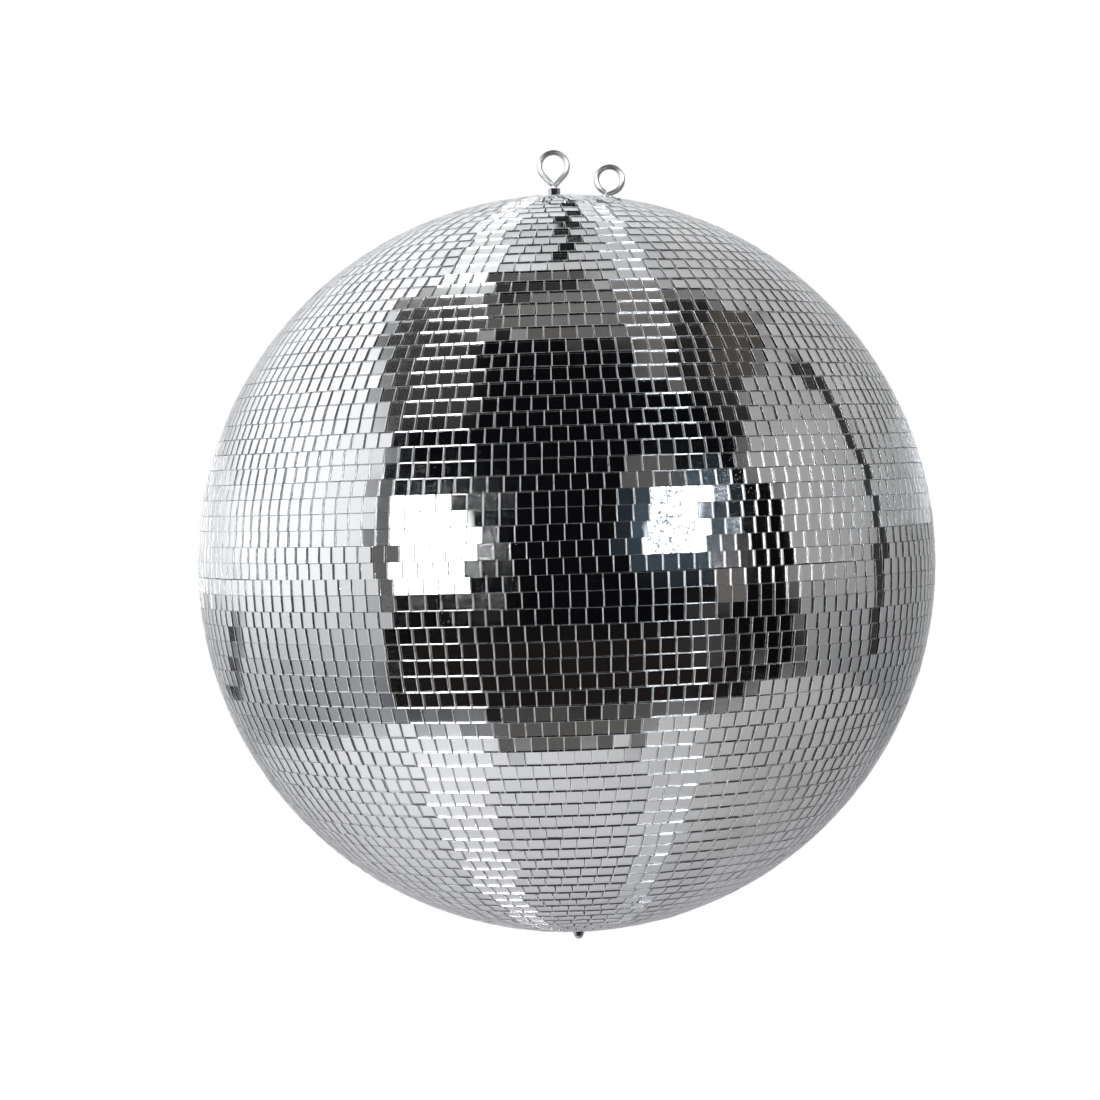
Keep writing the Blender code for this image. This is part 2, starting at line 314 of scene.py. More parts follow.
WALL = [
    (-180, (0.74, 0.75, 0.77)), (-146, (0.82, 0.84, 0.87)), (-117, (1.20, 1.23, 1.27)),
    (-97, (1.18, 1.21, 1.25)), (-81, (1.12, 1.14, 1.17)), (-67, (0.93, 0.94, 0.96)),
    (-50, (0.60, 0.60, 0.61)), (60, (0.38, 0.38, 0.38)), (110, (0.385, 0.385, 0.385)),
    (135, (0.36, 0.36, 0.36)), (155, (0.52, 0.53, 0.53)), (180, (0.74, 0.75, 0.77)),
]
WALL_TOP = [
    (-180, (0.95, 0.96, 0.98)), (-160, (1.12, 1.14, 1.17)), (-146, (1.24, 1.26, 1.30)),
    (-117, (1.26, 1.29, 1.33)), (-97, (1.18, 1.21, 1.25)), (-67, (0.93, 0.94, 0.96)),
    (-50, (0.60, 0.60, 0.61)), (60, (0.38, 0.38, 0.38)), (110, (0.40, 0.40, 0.40)),
    (125, (0.50, 0.50, 0.50)), (143, (0.51, 0.51, 0.51)), (155, (0.66, 0.66, 0.67)),
    (165, (0.79, 0.80, 0.81)), (180, (0.95, 0.96, 0.98)),
]
WALL_FOOT = [
    (-180, (0.34, 0.35, 0.37)), (-100, (0.33, 0.34, 0.36)), (-60, (0.30, 0.31, 0.33)),
    (60, (0.24, 0.24, 0.24)), (135, (0.22, 0.23, 0.24)), (180, (0.34, 0.35, 0.37)),
]
GROUND = [
    (-180, (0.51, 0.51, 0.54)), (-120, (0.76, 0.77, 0.80)), (-70, (0.92, 0.93, 0.96)),
    (-40, (0.80, 0.81, 0.83)), (0, (0.66, 0.66, 0.68)), (35, (0.56, 0.56, 0.57)),
    (80, (0.43, 0.43, 0.43)), (130, (0.38, 0.38, 0.38)), (180, (0.51, 0.51, 0.54)),
]
CEILING = [
    (-180, (0.62, 0.63, 0.64)), (-120, (1.28, 1.30, 1.33)), (-70, (1.38, 1.40, 1.43)),
    (-20, (0.72, 0.72, 0.72)), (30, (0.46, 0.46, 0.46)), (80, (0.41, 0.41, 0.41)),
    (130, (0.53, 0.53, 0.54)), (180, (0.62, 0.63, 0.64)),
]
GROUND_EDGE = [
    (-180, -14), (-151, -16), (-126, -27.5), (-107, -34.5), (-90, -37.5), (-63, -42), (-40, -50),
    (0, -57), (40, -45), (68, -29), (114, -23), (150, -18), (180, -14),
]
CEILING_EDGE = [(-180, 48), (-120, 52), (-60, 60), (0, 70), (60, 62), (120, 50), (180, 48)]
NADIR_COLOUR = (0.60, 0.60, 0.62, 1.0)
POLE_AZIMUTH = 112.5
POLE_HALF_WIDTH = (3.6, 2.8)
POLE_ELEVATION = 11.0
POLE_HALF_HEIGHT = (28.5, 27.0)
POLE_COLOUR = (0.03, 0.03, 0.03, 1.0)
OUTLINE_WOBBLE = 0.05
BRIGHTEST_UNLIT = 1.0
LAMP_DOT_RANDOMNESS = 0.9
LAMP_LEFT_END = 0.2
LAMP_LEAST_GREEN = 8.0
LAMP_DOT_SCALE = 2200.0
LAMP_DOT_SIZE = 0.42
LAMP_DOT_EDGE = 0.315
LAMP_DOT_COLOUR = (0.22, 0.24, 0.28, 1.0)
LAMP_DIODE_FROM = 0.61
LAMP_DIODE_COLOUR = (58.0, 61.0, 65.0, 1.0)
LAMP_DIMMED_COLOUR = (1.5, 1.6, 1.7, 1.0)
# name: middle x and z, half width and half height, corner radius, softness, lean, colour
PATCHES = {
    "dark_room": (0.01, 0.115, 0.470, 0.487, 0.09, 0.025, 0.00, (0.0030, 0.0031, 0.0038)),
    "dark_right": (0.45, -0.030, 0.145, 0.265, 0.04, 0.025, -0.10, (0.003, 0.003, 0.0032)),
    "dark_left": (-0.30, -0.210, 0.185, 0.150, 0.04, 0.025, 0.00, (0.0035, 0.0032, 0.0030)),
    "box_stand": (-0.476, 0.060, 0.024, 0.200, 0.01, 0.015, 0.00, (0.125, 0.125, 0.125)),
    "dark_foot": (0.00, -0.420, 0.200, 0.052, 0.05, 0.030, 0.00, (0.110, 0.104, 0.098)),
    "front_table": (0.00, -0.270, 0.440, 0.105, 0.06, 0.080, 0.00, (0.012, 0.010, 0.009)),
    "zenith": (-0.03, 0.665, 0.400, 0.065, 0.06, 0.030, 0.00, (0.120, 0.114, 0.108)),
    "zenith_cap": (-0.05, 0.745, 0.150, 0.030, 0.02, 0.020, 0.00, (0.105, 0.100, 0.096)),
    "upper_left": (-0.350, 0.530, 0.120, 0.150, 0.05, 0.050, 0.00, (0.048, 0.047, 0.046)),
    "upper_right": (0.350, 0.570, 0.090, 0.130, 0.05, 0.050, 0.00, (0.018, 0.017, 0.016)),
    "zenith_light": (0.08, 0.690, 0.200, 0.050, 0.03, 0.040, 0.00, (0.19, 0.184, 0.176)),
    "zenith_beam": (-0.05, 0.735, 0.115, 0.013, 0.01, 0.010, 0.00, (0.034, 0.031, 0.029)),
    "ceiling_strip": (0.250, 0.565, 0.042, 0.080, 0.02, 0.020, 0.00, (0.150, 0.145, 0.140)),
    "brown_wall": (0.47, 0.570, 0.080, 0.090, 0.03, 0.030, 0.00, (0.075, 0.066, 0.058)),
    "brown_wall_low": (0.45, 0.420, 0.040, 0.080, 0.03, 0.030, 0.00, (0.030, 0.027, 0.025)),
    "table_legs": (0.36, -0.180, 0.050, 0.080, 0.03, 0.040, 0.20, (0.050, 0.047, 0.046)),
    "grey_door": (0.43, -0.020, 0.035, 0.095, 0.02, 0.015, 0.00, (0.135, 0.125, 0.120)),
    "left_soft_box": (-0.350, 0.066, 0.098, 0.122, 0.01, 0.012, 0.00, (13.0, 13.1, 13.2)),
    "lamp_glow": (0.292, 0.125, 0.118, 0.122, 0.06, 0.100, 0.00, (0.070, 0.098, 0.125)),
    "lamp_hood": (0.232, 0.248, 0.060, 0.036, 0.01, 0.012, 0.00, (0.105, 0.102, 0.097)),
    "right_lamp": (0.296, 0.125, 0.075, 0.083, 0.02, 0.012, 0.00, (14.2, 15.4, 17.0)),
    "far_left_stand": (-0.882, -0.240, 0.012, 0.120, 0.01, 0.015, 0.00, (0.05, 0.05, 0.05)),
    "ceiling_rail": (0.026, 0.885, 0.0205, 0.085, 0.005, 0.004, 0.27, (0.012, 0.014, 0.014)),
}


def turn_to_factor(stops):
    return [((azimuth + 180.0) / 360.0, colour) for azimuth, colour in stops]


def make_patch_group():
    """Mask of a rounded rectangle with soft edges, in the ball's own picture of the studio."""
    tree = bpy.data.node_groups.new("studio_patch", "ShaderNodeTree")
    names = ("X", "Z", "Middle X", "Middle Z", "Half Width", "Half Height", "Corner", "Softness", "Lean")
    for name in names:
        tree.interface.new_socket(name, in_out="INPUT", socket_type="NodeSocketFloat")
    tree.interface.new_socket("Mask", in_out="OUTPUT", socket_type="NodeSocketFloat")
    g = Graph(tree)
    source = g.add("NodeGroupInput").outputs
    dz = g.math("SUBTRACT", source["Z"], source["Middle Z"])
    shift = g.math("MULTIPLY", dz, source["Lean"])
    dx = g.math("SUBTRACT", g.math("SUBTRACT", source["X"], source["Middle X"]), shift)
    qx = g.math("ADD", g.math("SUBTRACT", g.math("ABSOLUTE", dx), source["Half Width"]), source["Corner"])
    qz = g.math("ADD", g.math("SUBTRACT", g.math("ABSOLUTE", dz), source["Half Height"]), source["Corner"])
    px = g.math("MAXIMUM", qx, 0.0)
    pz = g.math("MAXIMUM", qz, 0.0)
    outside = g.math("SQRT", g.math("ADD", g.math("MULTIPLY", px, px), g.math("MULTIPLY", pz, pz)))
    inside = g.math("MINIMUM", g.math("MAXIMUM", qx, qz), 0.0)
    distance = g.math("SUBTRACT", g.math("ADD", outside, inside), source["Corner"])
    mask = g.math("SUBTRACT", 0.5, g.math("DIVIDE", distance, source["Softness"]), clamp=True)
    sink = g.add("NodeGroupOutput")
    g.links.new(mask, sink.inputs["Mask"])
    return tree


def make_world():
    world = bpy.data.worlds.new("studio")
    bpy.context.scene.world = world
    world.use_nodes = True
    g = Graph(world.node_tree)
    direction = g.vector("NORMALIZE", g.add("ShaderNodeTexCoord").outputs["Generated"])
    parts = g.add("ShaderNodeSeparateXYZ", Vector=direction).outputs
    azimuth = g.math("DEGREES", g.math("ARCTAN2", parts["X"], g.math("MULTIPLY", parts["Y"], -1.0)))
    elevation = g.math("DEGREES", g.math("ARCSINE", parts["Z"]))
    factor = g.math("DIVIDE", g.math("ADD", azimuth, 180.0), 360.0)

    def edge(stops):
        shade = g.ramp(factor, [(at, (el + 90.0) / 180.0) for at, el in turn_to_factor(stops)])
        return g.math("SUBTRACT", g.math("MULTIPLY", shade, 180.0), 90.0)

    def above(limit, softness):
        return g.remap(g.math("SUBTRACT", elevation, limit), -softness, softness)

    wall = g.mix(g.remap(elevation, -30.0, 8.0), g.ramp(factor, turn_to_factor(WALL_FOOT)),
                 g.ramp(factor, turn_to_factor(WALL)))
    wall = g.mix(g.remap(elevation, 4.0, 24.0), wall, g.ramp(factor, turn_to_factor(WALL_TOP)))
    ground = g.mix(g.remap(elevation, -84.0, -50.0), NADIR_COLOUR, g.ramp(factor, turn_to_factor(GROUND)))
    colour = g.mix(above(edge(GROUND_EDGE), 1.5), ground, wall)
    colour = g.mix(above(edge(CEILING_EDGE), 7.0), colour, g.ramp(factor, turn_to_factor(CEILING)))

    pole_across = g.remap(g.math("ABSOLUTE", g.math("SUBTRACT", azimuth, POLE_AZIMUTH)), *POLE_HALF_WIDTH)
    pole_up = g.remap(g.math("ABSOLUTE", g.math("SUBTRACT", elevation, POLE_ELEVATION)), *POLE_HALF_HEIGHT)
    colour = g.mix(g.math("MULTIPLY", pole_across, pole_up), colour, POLE_COLOUR)

    half_way = g.vector("NORMALIZE", g.vector("ADD", direction, (0.0, -1.0, 0.0)))
    wobble = g.add("ShaderNodeTexNoise", Vector=direction, Scale=5.0, Detail=3.0).outputs["Color"]
    wobble = g.vector("SCALE", g.vector("SUBTRACT", wobble, (0.5, 0.5, 0.5)), scale=OUTLINE_WOBBLE)
    place = g.add("ShaderNodeSeparateXYZ", Vector=g.vector("ADD", half_way, wobble)).outputs
    straight = g.add("ShaderNodeSeparateXYZ", Vector=half_way).outputs
    group = make_patch_group()
    for name, (x, z, half_x, half_z, corner, softness, lean, shade) in PATCHES.items():
        where = straight if max(shade) > BRIGHTEST_UNLIT else place
        node = g.add("ShaderNodeGroup", {"node_tree": group, "name": name}, X=where["X"], Z=where["Z"],
                     Middle_X=x, Middle_Z=z, Half_Width=half_x, Half_Height=half_z,
                     Corner=corner, Softness=softness, Lean=lean)
        colour = g.mix(node.outputs["Mask"], colour, as_colour(shade))

    # The part of the right lamp that shows its single diodes: dark dots, plain glow and bright cores
    diodes = g.add("ShaderNodeTexVoronoi", Vector=half_way, Scale=LAMP_DOT_SCALE,
                   Randomness=LAMP_DOT_RANDOMNESS).outputs["Distance"]
    green = g.vector("DOT_PRODUCT", colour, (0.0, 1.0, 0.0))
    in_lamp = g.math("MULTIPLY", g.math("GREATER_THAN", straight["X"], LAMP_LEFT_END),
                     g.math("GREATER_THAN", green, LAMP_LEAST_GREEN))
    seen_diodes = g.math("MULTIPLY", in_lamp, g.math("LESS_THAN", place["X"], LAMP_DOT_EDGE))
    colour = g.mix(seen_diodes, colour, LAMP_DIMMED_COLOUR)
    dots = g.math("MULTIPLY", seen_diodes, g.math("LESS_THAN", diodes, LAMP_DOT_SIZE))
    colour = g.mix(dots, colour, LAMP_DOT_COLOUR)
    cores = g.math("MULTIPLY", seen_diodes, g.math("GREATER_THAN", diodes, LAMP_DIODE_FROM))
    colour = g.mix(cores, colour, LAMP_DIODE_COLOUR)

    # The backdrop behind the ball is plain white
    seen = g.add("ShaderNodeLightPath").outputs["Is Camera Ray"]
    colour = g.mix(seen, colour, (1.0, 1.0, 1.0, 1.0))
    background = g.add("ShaderNodeBackground", Color=colour, Strength=1.0)
    g.add("ShaderNodeOutputWorld", Surface=background.outputs[0])


def make_floor():
    """A plain pale floor well below the hanging ball, fading into the white backdrop."""
    rings = FLOOR_RINGS
    around = FLOOR_SEGMENTS
    verts = [(0.0, 0.0, 0.0)]
    faces = []
    for ring in range(1, rings + 1):
        radius = FLOOR_RADIUS * ring / rings
        for step in range(around):
            angle = 2.0 * math.pi * step / around
            verts.append((radius * math.cos(angle), radius * math.sin(angle), 0.0))
    for step in range(around):
        after = (step + 1) % around
        faces.append((0, 1 + step, 1 + after))
        for ring in range(1, rings):
            low = 1 + (ring - 1) * around
            high = low + around
            faces.append((low + step, high + step, high + after, low + after))
    mesh = bpy.data.meshes.new("floor")
    mesh.from_pydata(verts, [], faces)
    floor = bpy.data.objects.new("floor", mesh)
    floor.location = (0.0, 0.0, CENTRE_Z - FLOOR_DROP)
    bpy.context.scene.collection.objects.link(floor)
    material = bpy.data.materials.new("pale_floor")
    material.use_nodes = True
    g = Graph(material.node_tree)
    point = g.add("ShaderNodeTexCoord").outputs["Object"]
    fade = g.remap(g.vector("LENGTH", point), 0.5, FLOOR_RADIUS * 0.97)
    grain = g.noise(point, 30.0, 4.0)
    shade = g.mix(grain, (0.86, 0.86, 0.86, 1.0), (0.90, 0.90, 0.90, 1.0))
    solid = g.add("ShaderNodeBsdfPrincipled", Base_Color=shade, Roughness=0.6)
    g.put(solid, "Emission Color", (1.0, 1.0, 1.0, 1.0))
    g.put(solid, "Emission Strength", 0.25)
    clear = g.add("ShaderNodeBsdfTransparent")
    mixed = g.add("ShaderNodeMixShader", **{"0": fade, "1": solid.outputs[0], "2": clear.outputs[0]})
    g.add("ShaderNodeOutputMaterial", Surface=mixed.outputs[0])
    mesh.materials.append(material)
    floor.visible_glossy = False
    floor.visible_transmission = False


# ----------------------------------------------------------------------------------------------------
# Materials

def start_material(name, **constants):
    material = bpy.data.materials.new(name)
    material.use_nodes = True
    g = Graph(material.node_tree)
    shader = g.add("ShaderNodeBsdfPrincipled")
    for key, value in constants.items():
        g.put(shader, key.replace("_", " "), value)
    g.add("ShaderNodeOutputMaterial", Surface=shader.outputs[0])
    point = g.add("ShaderNodeTexCoord").outputs["Object"]
    return material, g, shader, point


def tile_coordinates(g, point):
    """Object coordinates shifted by each tile's own seed, so that no pattern runs on from tile to tile."""
    seed = g.attribute("tile_seed")
    offset = g.add("ShaderNodeCombineXYZ", X=g.math("MULTIPLY", seed, 7.0), Y=g.math("MULTIPLY", seed, 3.0))
    return g.vector("ADD", point, offset.outputs[0])


def wiped_streaks(g, own):
    """Brush-like marks left by wiping, 0 to 1, with cleaner and dirtier areas."""
    wiped = g.noise(g.vector("MULTIPLY", own, (90.0, 90.0, 700.0)), 1.0, 4.0, 0.65, 0.6)
    areas = g.remap(g.noise(own, 260.0, 3.0, 0.6), 0.30, 0.62, 0.35, 1.0)
    return g.math("MULTIPLY", g.remap(wiped, 0.34, 0.68), areas)


def tile_glass_material():
    """Top of a tile: clear glass under a thin wiped film."""
    material, g, shader, point = start_material(
        "tile_glass", Base_Color=(0.990, 0.992, 0.991, 1.0), Roughness=0.0, IOR=1.5, Transmission_Weight=1.0,
        Coat_Roughness=0.22, Coat_IOR=1.5)
    film = g.math("MULTIPLY", wiped_streaks(g, tile_coordinates(g, point)), g.attribute("tile_haze"))
    g.put(shader, "Coat Weight", g.math("MULTIPLY", film, FILM_WEIGHT, clamp=True))
    return material


def tile_silver_material():
    """Silvering on the back of a tile: slow waves, and fine scratches that scatter a little of the light."""
    material, g, shader, point = start_material("tile_silver", Metallic=1.0, Roughness=0.004)
    own = tile_coordinates(g, point)
    silver = g.mix(g.attribute("tile_tone"), (0.845, 0.845, 0.845, 1.0), (0.935, 0.935, 0.930, 1.0))
    tint = g.mix(g.attribute("tile_hue"), (0.990, 1.0, 0.995, 1.0), (0.99, 0.985, 1.0, 1.0))
    tinted = g.add("ShaderNodeMix", {"data_type": "RGBA", "blend_type": "MULTIPLY"},
                   **{"0": 1.0, "6": silver, "7": tint})
    g.put(shader, "Base Color", tinted.outputs[2])
    waves = g.bump(g.noise(own, 110.0, 1.0), 0.00003, 0.10)
    grain = g.white_noise(point, SCRATCH_GRAIN)
    share = g.math("MULTIPLY", g.math("ADD", 0.25, wiped_streaks(g, own)), g.attribute("tile_haze"))
    share = g.math("MULTIPLY", share, HAZE_SHARE)
    scratched = g.math("LESS_THAN", grain["Value"], share)
    depth = g.math("DIVIDE", grain["Value"], g.math("MAXIMUM", share, 0.001))
    reach = g.math("MULTIPLY", scratched, depth)
    tilt = g.vector("SUBTRACT", grain["Color"], (0.5, 0.5, 0.5))
    tilt = g.vector("SCALE", tilt, scale=g.math("MULTIPLY", reach, 2.0 * HAZE_TILT))
    g.put(shader, "Normal", g.vector("NORMALIZE", g.vector("ADD", waves, tilt)))
    return material


def tile_arris_material():
    """Thin broken edge round a tile's top: white ground glass with clear stretches."""
    material, g, shader, point = start_material("tile_arris", IOR=1.5)
    stretches = g.noise(point, 420.0, 2.0, 0.6)
    chips = g.noise(point, 2200.0, 3.0, 0.7)
    ground = g.remap(chips, 0.3, 0.7)
    g.put(shader, "Base Color", g.mix(ground, (0.90, 0.91, 0.91, 1.0), (0.98, 0.98, 0.98, 1.0)))
    g.put(shader, "Transmission Weight", g.remap(stretches, 0.56, 0.70, 0.0, 0.85))
    g.put(shader, "Roughness", g.remap(chips, 0.30, 0.70, 0.08, 0.40))
    g.put(shader, "Normal", g.bump(chips, 0.00004, 0.5))
    return material


def tile_side_material():
    """Snapped sides of a tile: ribs run along the edge, so light fans out through the thickness only."""
    material, g, shader, point = start_material("tile_side", IOR=1.5, Transmission_Weight=1.0)
    stretches = g.noise(point, 300.0, 3.0, 0.6)
    g.put(shader, "Base Color", g.mix(stretches, (0.93, 0.96, 0.95, 1.0), (0.98, 0.985, 0.98, 1.0)))
    g.put(shader, "Roughness", g.remap(stretches, 0.50, 0.74, 0.015, 0.12))
    outward = g.vector("NORMALIZE", g.vector("SUBTRACT", point, tuple(BALL_CENTRE)))
    spaces = {"vector_type": "VECTOR", "convert_from": "OBJECT", "convert_to": "WORLD"}
    turned = g.add("ShaderNodeVectorTransform", spaces, Vector=outward).outputs[0]
    ribs = g.white_noise(point, RIB_GRAIN)["Value"]
    lean = g.math("MULTIPLY", g.math("SUBTRACT", ribs, 0.5), 2.0 * SIDE_CURVE)
    plain = g.add("ShaderNodeNewGeometry").outputs["Normal"]
    leaning = g.vector("ADD", plain, g.vector("SCALE", turned, scale=lean))
    g.put(shader, "Normal", g.vector("NORMALIZE", leaning))
    return material


def plastic_material(name, low, high, roughness, grain, height):
    material, g, shader, point = start_material(name, IOR=1.5)
    mottled = g.noise(point, 35.0, 4.0, 0.6)
    fine = g.noise(point, grain, 3.0, 0.6)
    g.put(shader, "Base Color", g.mix(mottled, low, high))
    g.put(shader, "Roughness", g.remap(fine, 0.3, 0.7, roughness - 0.06, roughness + 0.08))
    g.put(shader, "Normal", g.bump(fine, height, 0.6))
    return material


def metal_material(name, low, high, rough_low, rough_high, grain, stretch, height):
    """Plated steel: cloudy tone, drawn or brushed grain along one axis, and small scuffs."""
    material, g, shader, point = start_material(name, Metallic=1.0)
    clouds = g.noise(point, 160.0, 4.0, 0.6)
    lines = g.noise(g.vector("MULTIPLY", point, stretch), grain, 3.0, 0.6)
    scuffs = g.remap(g.noise(point, 900.0, 4.0, 0.7, 0.8), 0.58, 0.72)
    g.put(shader, "Base Color", g.mix(g.remap(clouds, 0.3, 0.7), low, high))
    rough = g.remap(lines, 0.3, 0.7, rough_low, rough_high)
    g.put(shader, "Roughness", g.math("ADD", rough, g.math("MULTIPLY", scuffs, 0.12)))
    g.put(shader, "Normal", g.bump(g.math("ADD", lines, g.math("MULTIPLY", scuffs, 0.5)), height, 0.5))
    return material


def threaded_material(base):
    """The plated steel with a thread's turns, for the rod hidden in the ball."""
    material = base.copy()
    material.name = "threaded_steel"
    tree = material.node_tree
    shader = next(n for n in tree.nodes if n.type == "BSDF_PRINCIPLED")
    old = shader.inputs["Normal"].links[0].from_socket
    point = next(n for n in tree.nodes if n.type == "TEX_COORD").outputs["Object"]
    wave = tree.nodes.new("ShaderNodeTexWave")
    wave.wave_type = "BANDS"
    wave.bands_direction = "Z"
    wave.wave_profile = "TRI"
    # A wave texture of scale 1 has 20 / (2 pi) bands to the metre
    wave.inputs["Scale"].default_value = 1.0 / THREAD_PITCH / 20.0 * 2.0 * math.pi
    tree.links.new(point, wave.inputs["Vector"])
    bump = tree.nodes.new("ShaderNodeBump")
    bump.inputs["Distance"].default_value = THREAD_DEPTH
    tree.links.new(wave.outputs[1], bump.inputs["Height"])
    tree.links.new(old, bump.inputs["Normal"])
    tree.links.new(bump.outputs[0], shader.inputs["Normal"])
    return material


TILE_FINISHES = (tile_glass_material(), tile_arris_material(), tile_side_material(), tile_silver_material())
CORE_PLASTIC = plastic_material("core_plastic", (0.010, 0.010, 0.011, 1.0), (0.022, 0.022, 0.023, 1.0),
                                0.48, 700.0, 0.00008)
NYLON = plastic_material("nylon", (0.72, 0.70, 0.64, 1.0), (0.82, 0.80, 0.75, 1.0), 0.38, 1200.0, 0.00003)
BRIGHT_WIRE = metal_material("bright_wire", (0.54, 0.54, 0.53, 1.0), (0.64, 0.64, 0.63, 1.0),
                             0.28, 0.35, 900.0, (1.0, 1.0, 0.25), 0.000004)
ZINC = metal_material("zinc_plate", (0.44, 0.45, 0.47, 1.0), (0.60, 0.61, 0.62, 1.0),
                      0.12, 0.26, 700.0, (1.0, 1.0, 3.0), 0.00003)
THREADED = threaded_material(ZINC)


# ----------------------------------------------------------------------------------------------------
# Mesh tools

def add_piece(name, verts, faces, materials, body, replaced, sharp=None, indices=None):
    mesh = bpy.data.meshes.new(name)
    mesh.from_pydata([tuple(v) for v in verts], [], [tuple(f) for f in faces])
    for material in materials:
        mesh.materials.append(material)
    if indices is not None:
        mesh.polygons.foreach_set("material_index", indices)
    mesh.polygons.foreach_set("use_smooth", [sharp is not None] * len(mesh.polygons))
    mesh.update()
    if sharp is not None:
        mesh.set_sharp_from_angle(angle=math.radians(sharp))
    piece = bpy.data.objects.new(name, mesh)
    bpy.context.scene.collection.objects.link(piece)
    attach(piece, body)
    if replaced:
        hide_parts(*replaced)
    return piece


def place(points, matrix):
    return [matrix @ Vector(p) for p in points]


def turned_round(profile, angle):
    """A profile of (radius, z) points at an angle about Z."""
    return [(r * math.cos(angle), r * math.sin(angle), z) for r, z in profile]


def wrapped_faces(segments, count):
    """Faces of a closed ring: each profile of count points is joined to the next, all the way round."""
    faces = []
    for step in range(segments):
        here = step * count
        after = ((step + 1) % segments) * count
        for index in range(count):
            nxt = (index + 1) % count
            faces.append((here + index, after + index, after + nxt, here + nxt))
    return faces


def turned_solid(profile, segments):
    """Closed ring from a closed profile of (radius, z) points, counter-clockwise, turned about Z."""
    verts = []
    for step in range(segments):
        verts += turned_round(profile, 2.0 * math.pi * step / segments)
    return verts, wrapped_faces(segments, len(profile))


def eased_ring(inner, outer, low, high, ease):
    """Profile of a flat ring whose edges are eased."""
    third = ease * 0.3
    return [
        (inner + ease, low), (outer - ease, low), (outer - third, low + third), (outer, low + ease),
        (outer, high - ease), (outer - third, high - third), (outer - ease, high), (inner + ease, high),
        (inner + third, high - third), (inner, high - ease), (inner, low + ease),
        (inner + third, low + third),
    ]


def hex_radius(angle, across_flats):
    """Distance from the axis to a hexagon's side, with corners on X."""
    sector = math.pi / 3.0
    local = (angle % sector) - sector / 2.0
    return across_flats / 2.0 / math.cos(local)


def hex_body(across_flats, bore, low, high):
    """Hexagonal nut with turned chamfers on its corners and a countersunk bore."""
    start = across_flats / 2.0 * 0.985
    verts = []
    for step in range(HEX_SEGMENTS):
        angle = 2.0 * math.pi * step / HEX_SEGMENTS
        side = hex_radius(angle, across_flats)
        cut = max(0.0, side - start) * HEX_CHAMFER_SLOPE
        ring = [
            (bore, low + COUNTERSINK), (bore + COUNTERSINK, low), (min(start, side), low), (side, low + cut),
            (side, high - cut), (min(start, side), high), (bore + COUNTERSINK, high),
            (bore, high - COUNTERSINK),
        ]
        verts += turned_round(ring, angle)
    return verts, wrapped_faces(HEX_SEGMENTS, len(ring))


def swept(path, radius_at, sides):
    """Closed tube along a path in the XZ plane. radius_at gives the radius at a path step and an angle."""
    points = [Vector((x, 0.0, z)) for x, z in path]
    count = len(points)
    verts = []
    for index, point in enumerate(points):
        before = points[max(0, index - 1)]
        after = points[min(count - 1, index + 1)]
        tangent = (after - before).normalized()
        across = Vector((0.0, 1.0, 0.0))
        normal = across.cross(tangent).normalized()
        for side in range(sides):
            angle = 2.0 * math.pi * side / sides
            radius = radius_at(index, angle)
            verts.append(point + normal * (radius * math.cos(angle)) + across * (radius * math.sin(angle)))
    faces = []
    for index in range(count - 1):
        for side in range(sides):
            nxt = (side + 1) % sides
            low = index * sides
            high = low + sides
            faces.append((low + side, low + nxt, high + nxt, high + side))
    faces.append(tuple(reversed(range(sides))))
    faces.append(tuple(range((count - 1) * sides, count * sides)))
    return verts, faces


# ----------------------------------------------------------------------------------------------------
# Mirror tiles

def smooth_wave(lon, lat, phase, strength, sizes):
    """A slow wave over the ball that repeats round it."""
    total = np.zeros_like(lon)
    for index, (turns, rise) in enumerate(sizes):
        total += np.sin(turns * lon + rise * lat + phase * (index + 1.7)) / (index + 1.0)
    return total * strength


def row_of_tiles(rng, centre_lat, narrow_lat, start):
    """Longitudes and widths of one row's tiles, laid side by side, with a cut tile to close the row."""
    length = 2.0 * math.pi * (BALL_RADIUS - TILE_THICKNESS / 2.0) * math.cos(narrow_lat)
    count = int(length // TIGHTEST_PITCH)
    spare = length - count * TIGHTEST_PITCH
    widths = np.full(count, TILE)
    if spare > SMALLEST_CLOSING_TILE:
        widths = np.append(widths, spare - MEAN_GAP * 1.6)
    whole = len(widths)
    widths = widths * (1.0 - np.clip(np.abs(rng.normal(0.0, WIDTH_SPREAD, whole)), 0.0, LARGEST_WIDTH_LOSS))
    shares = 0.35 + rng.exponential(0.65, whole)
    gaps = (length - widths.sum()) * shares / shares.sum()
    ends = np.cumsum(widths + gaps)
    middles = ends - gaps / 2.0 - widths / 2.0
    return start + middles / length * 2.0 * math.pi, widths


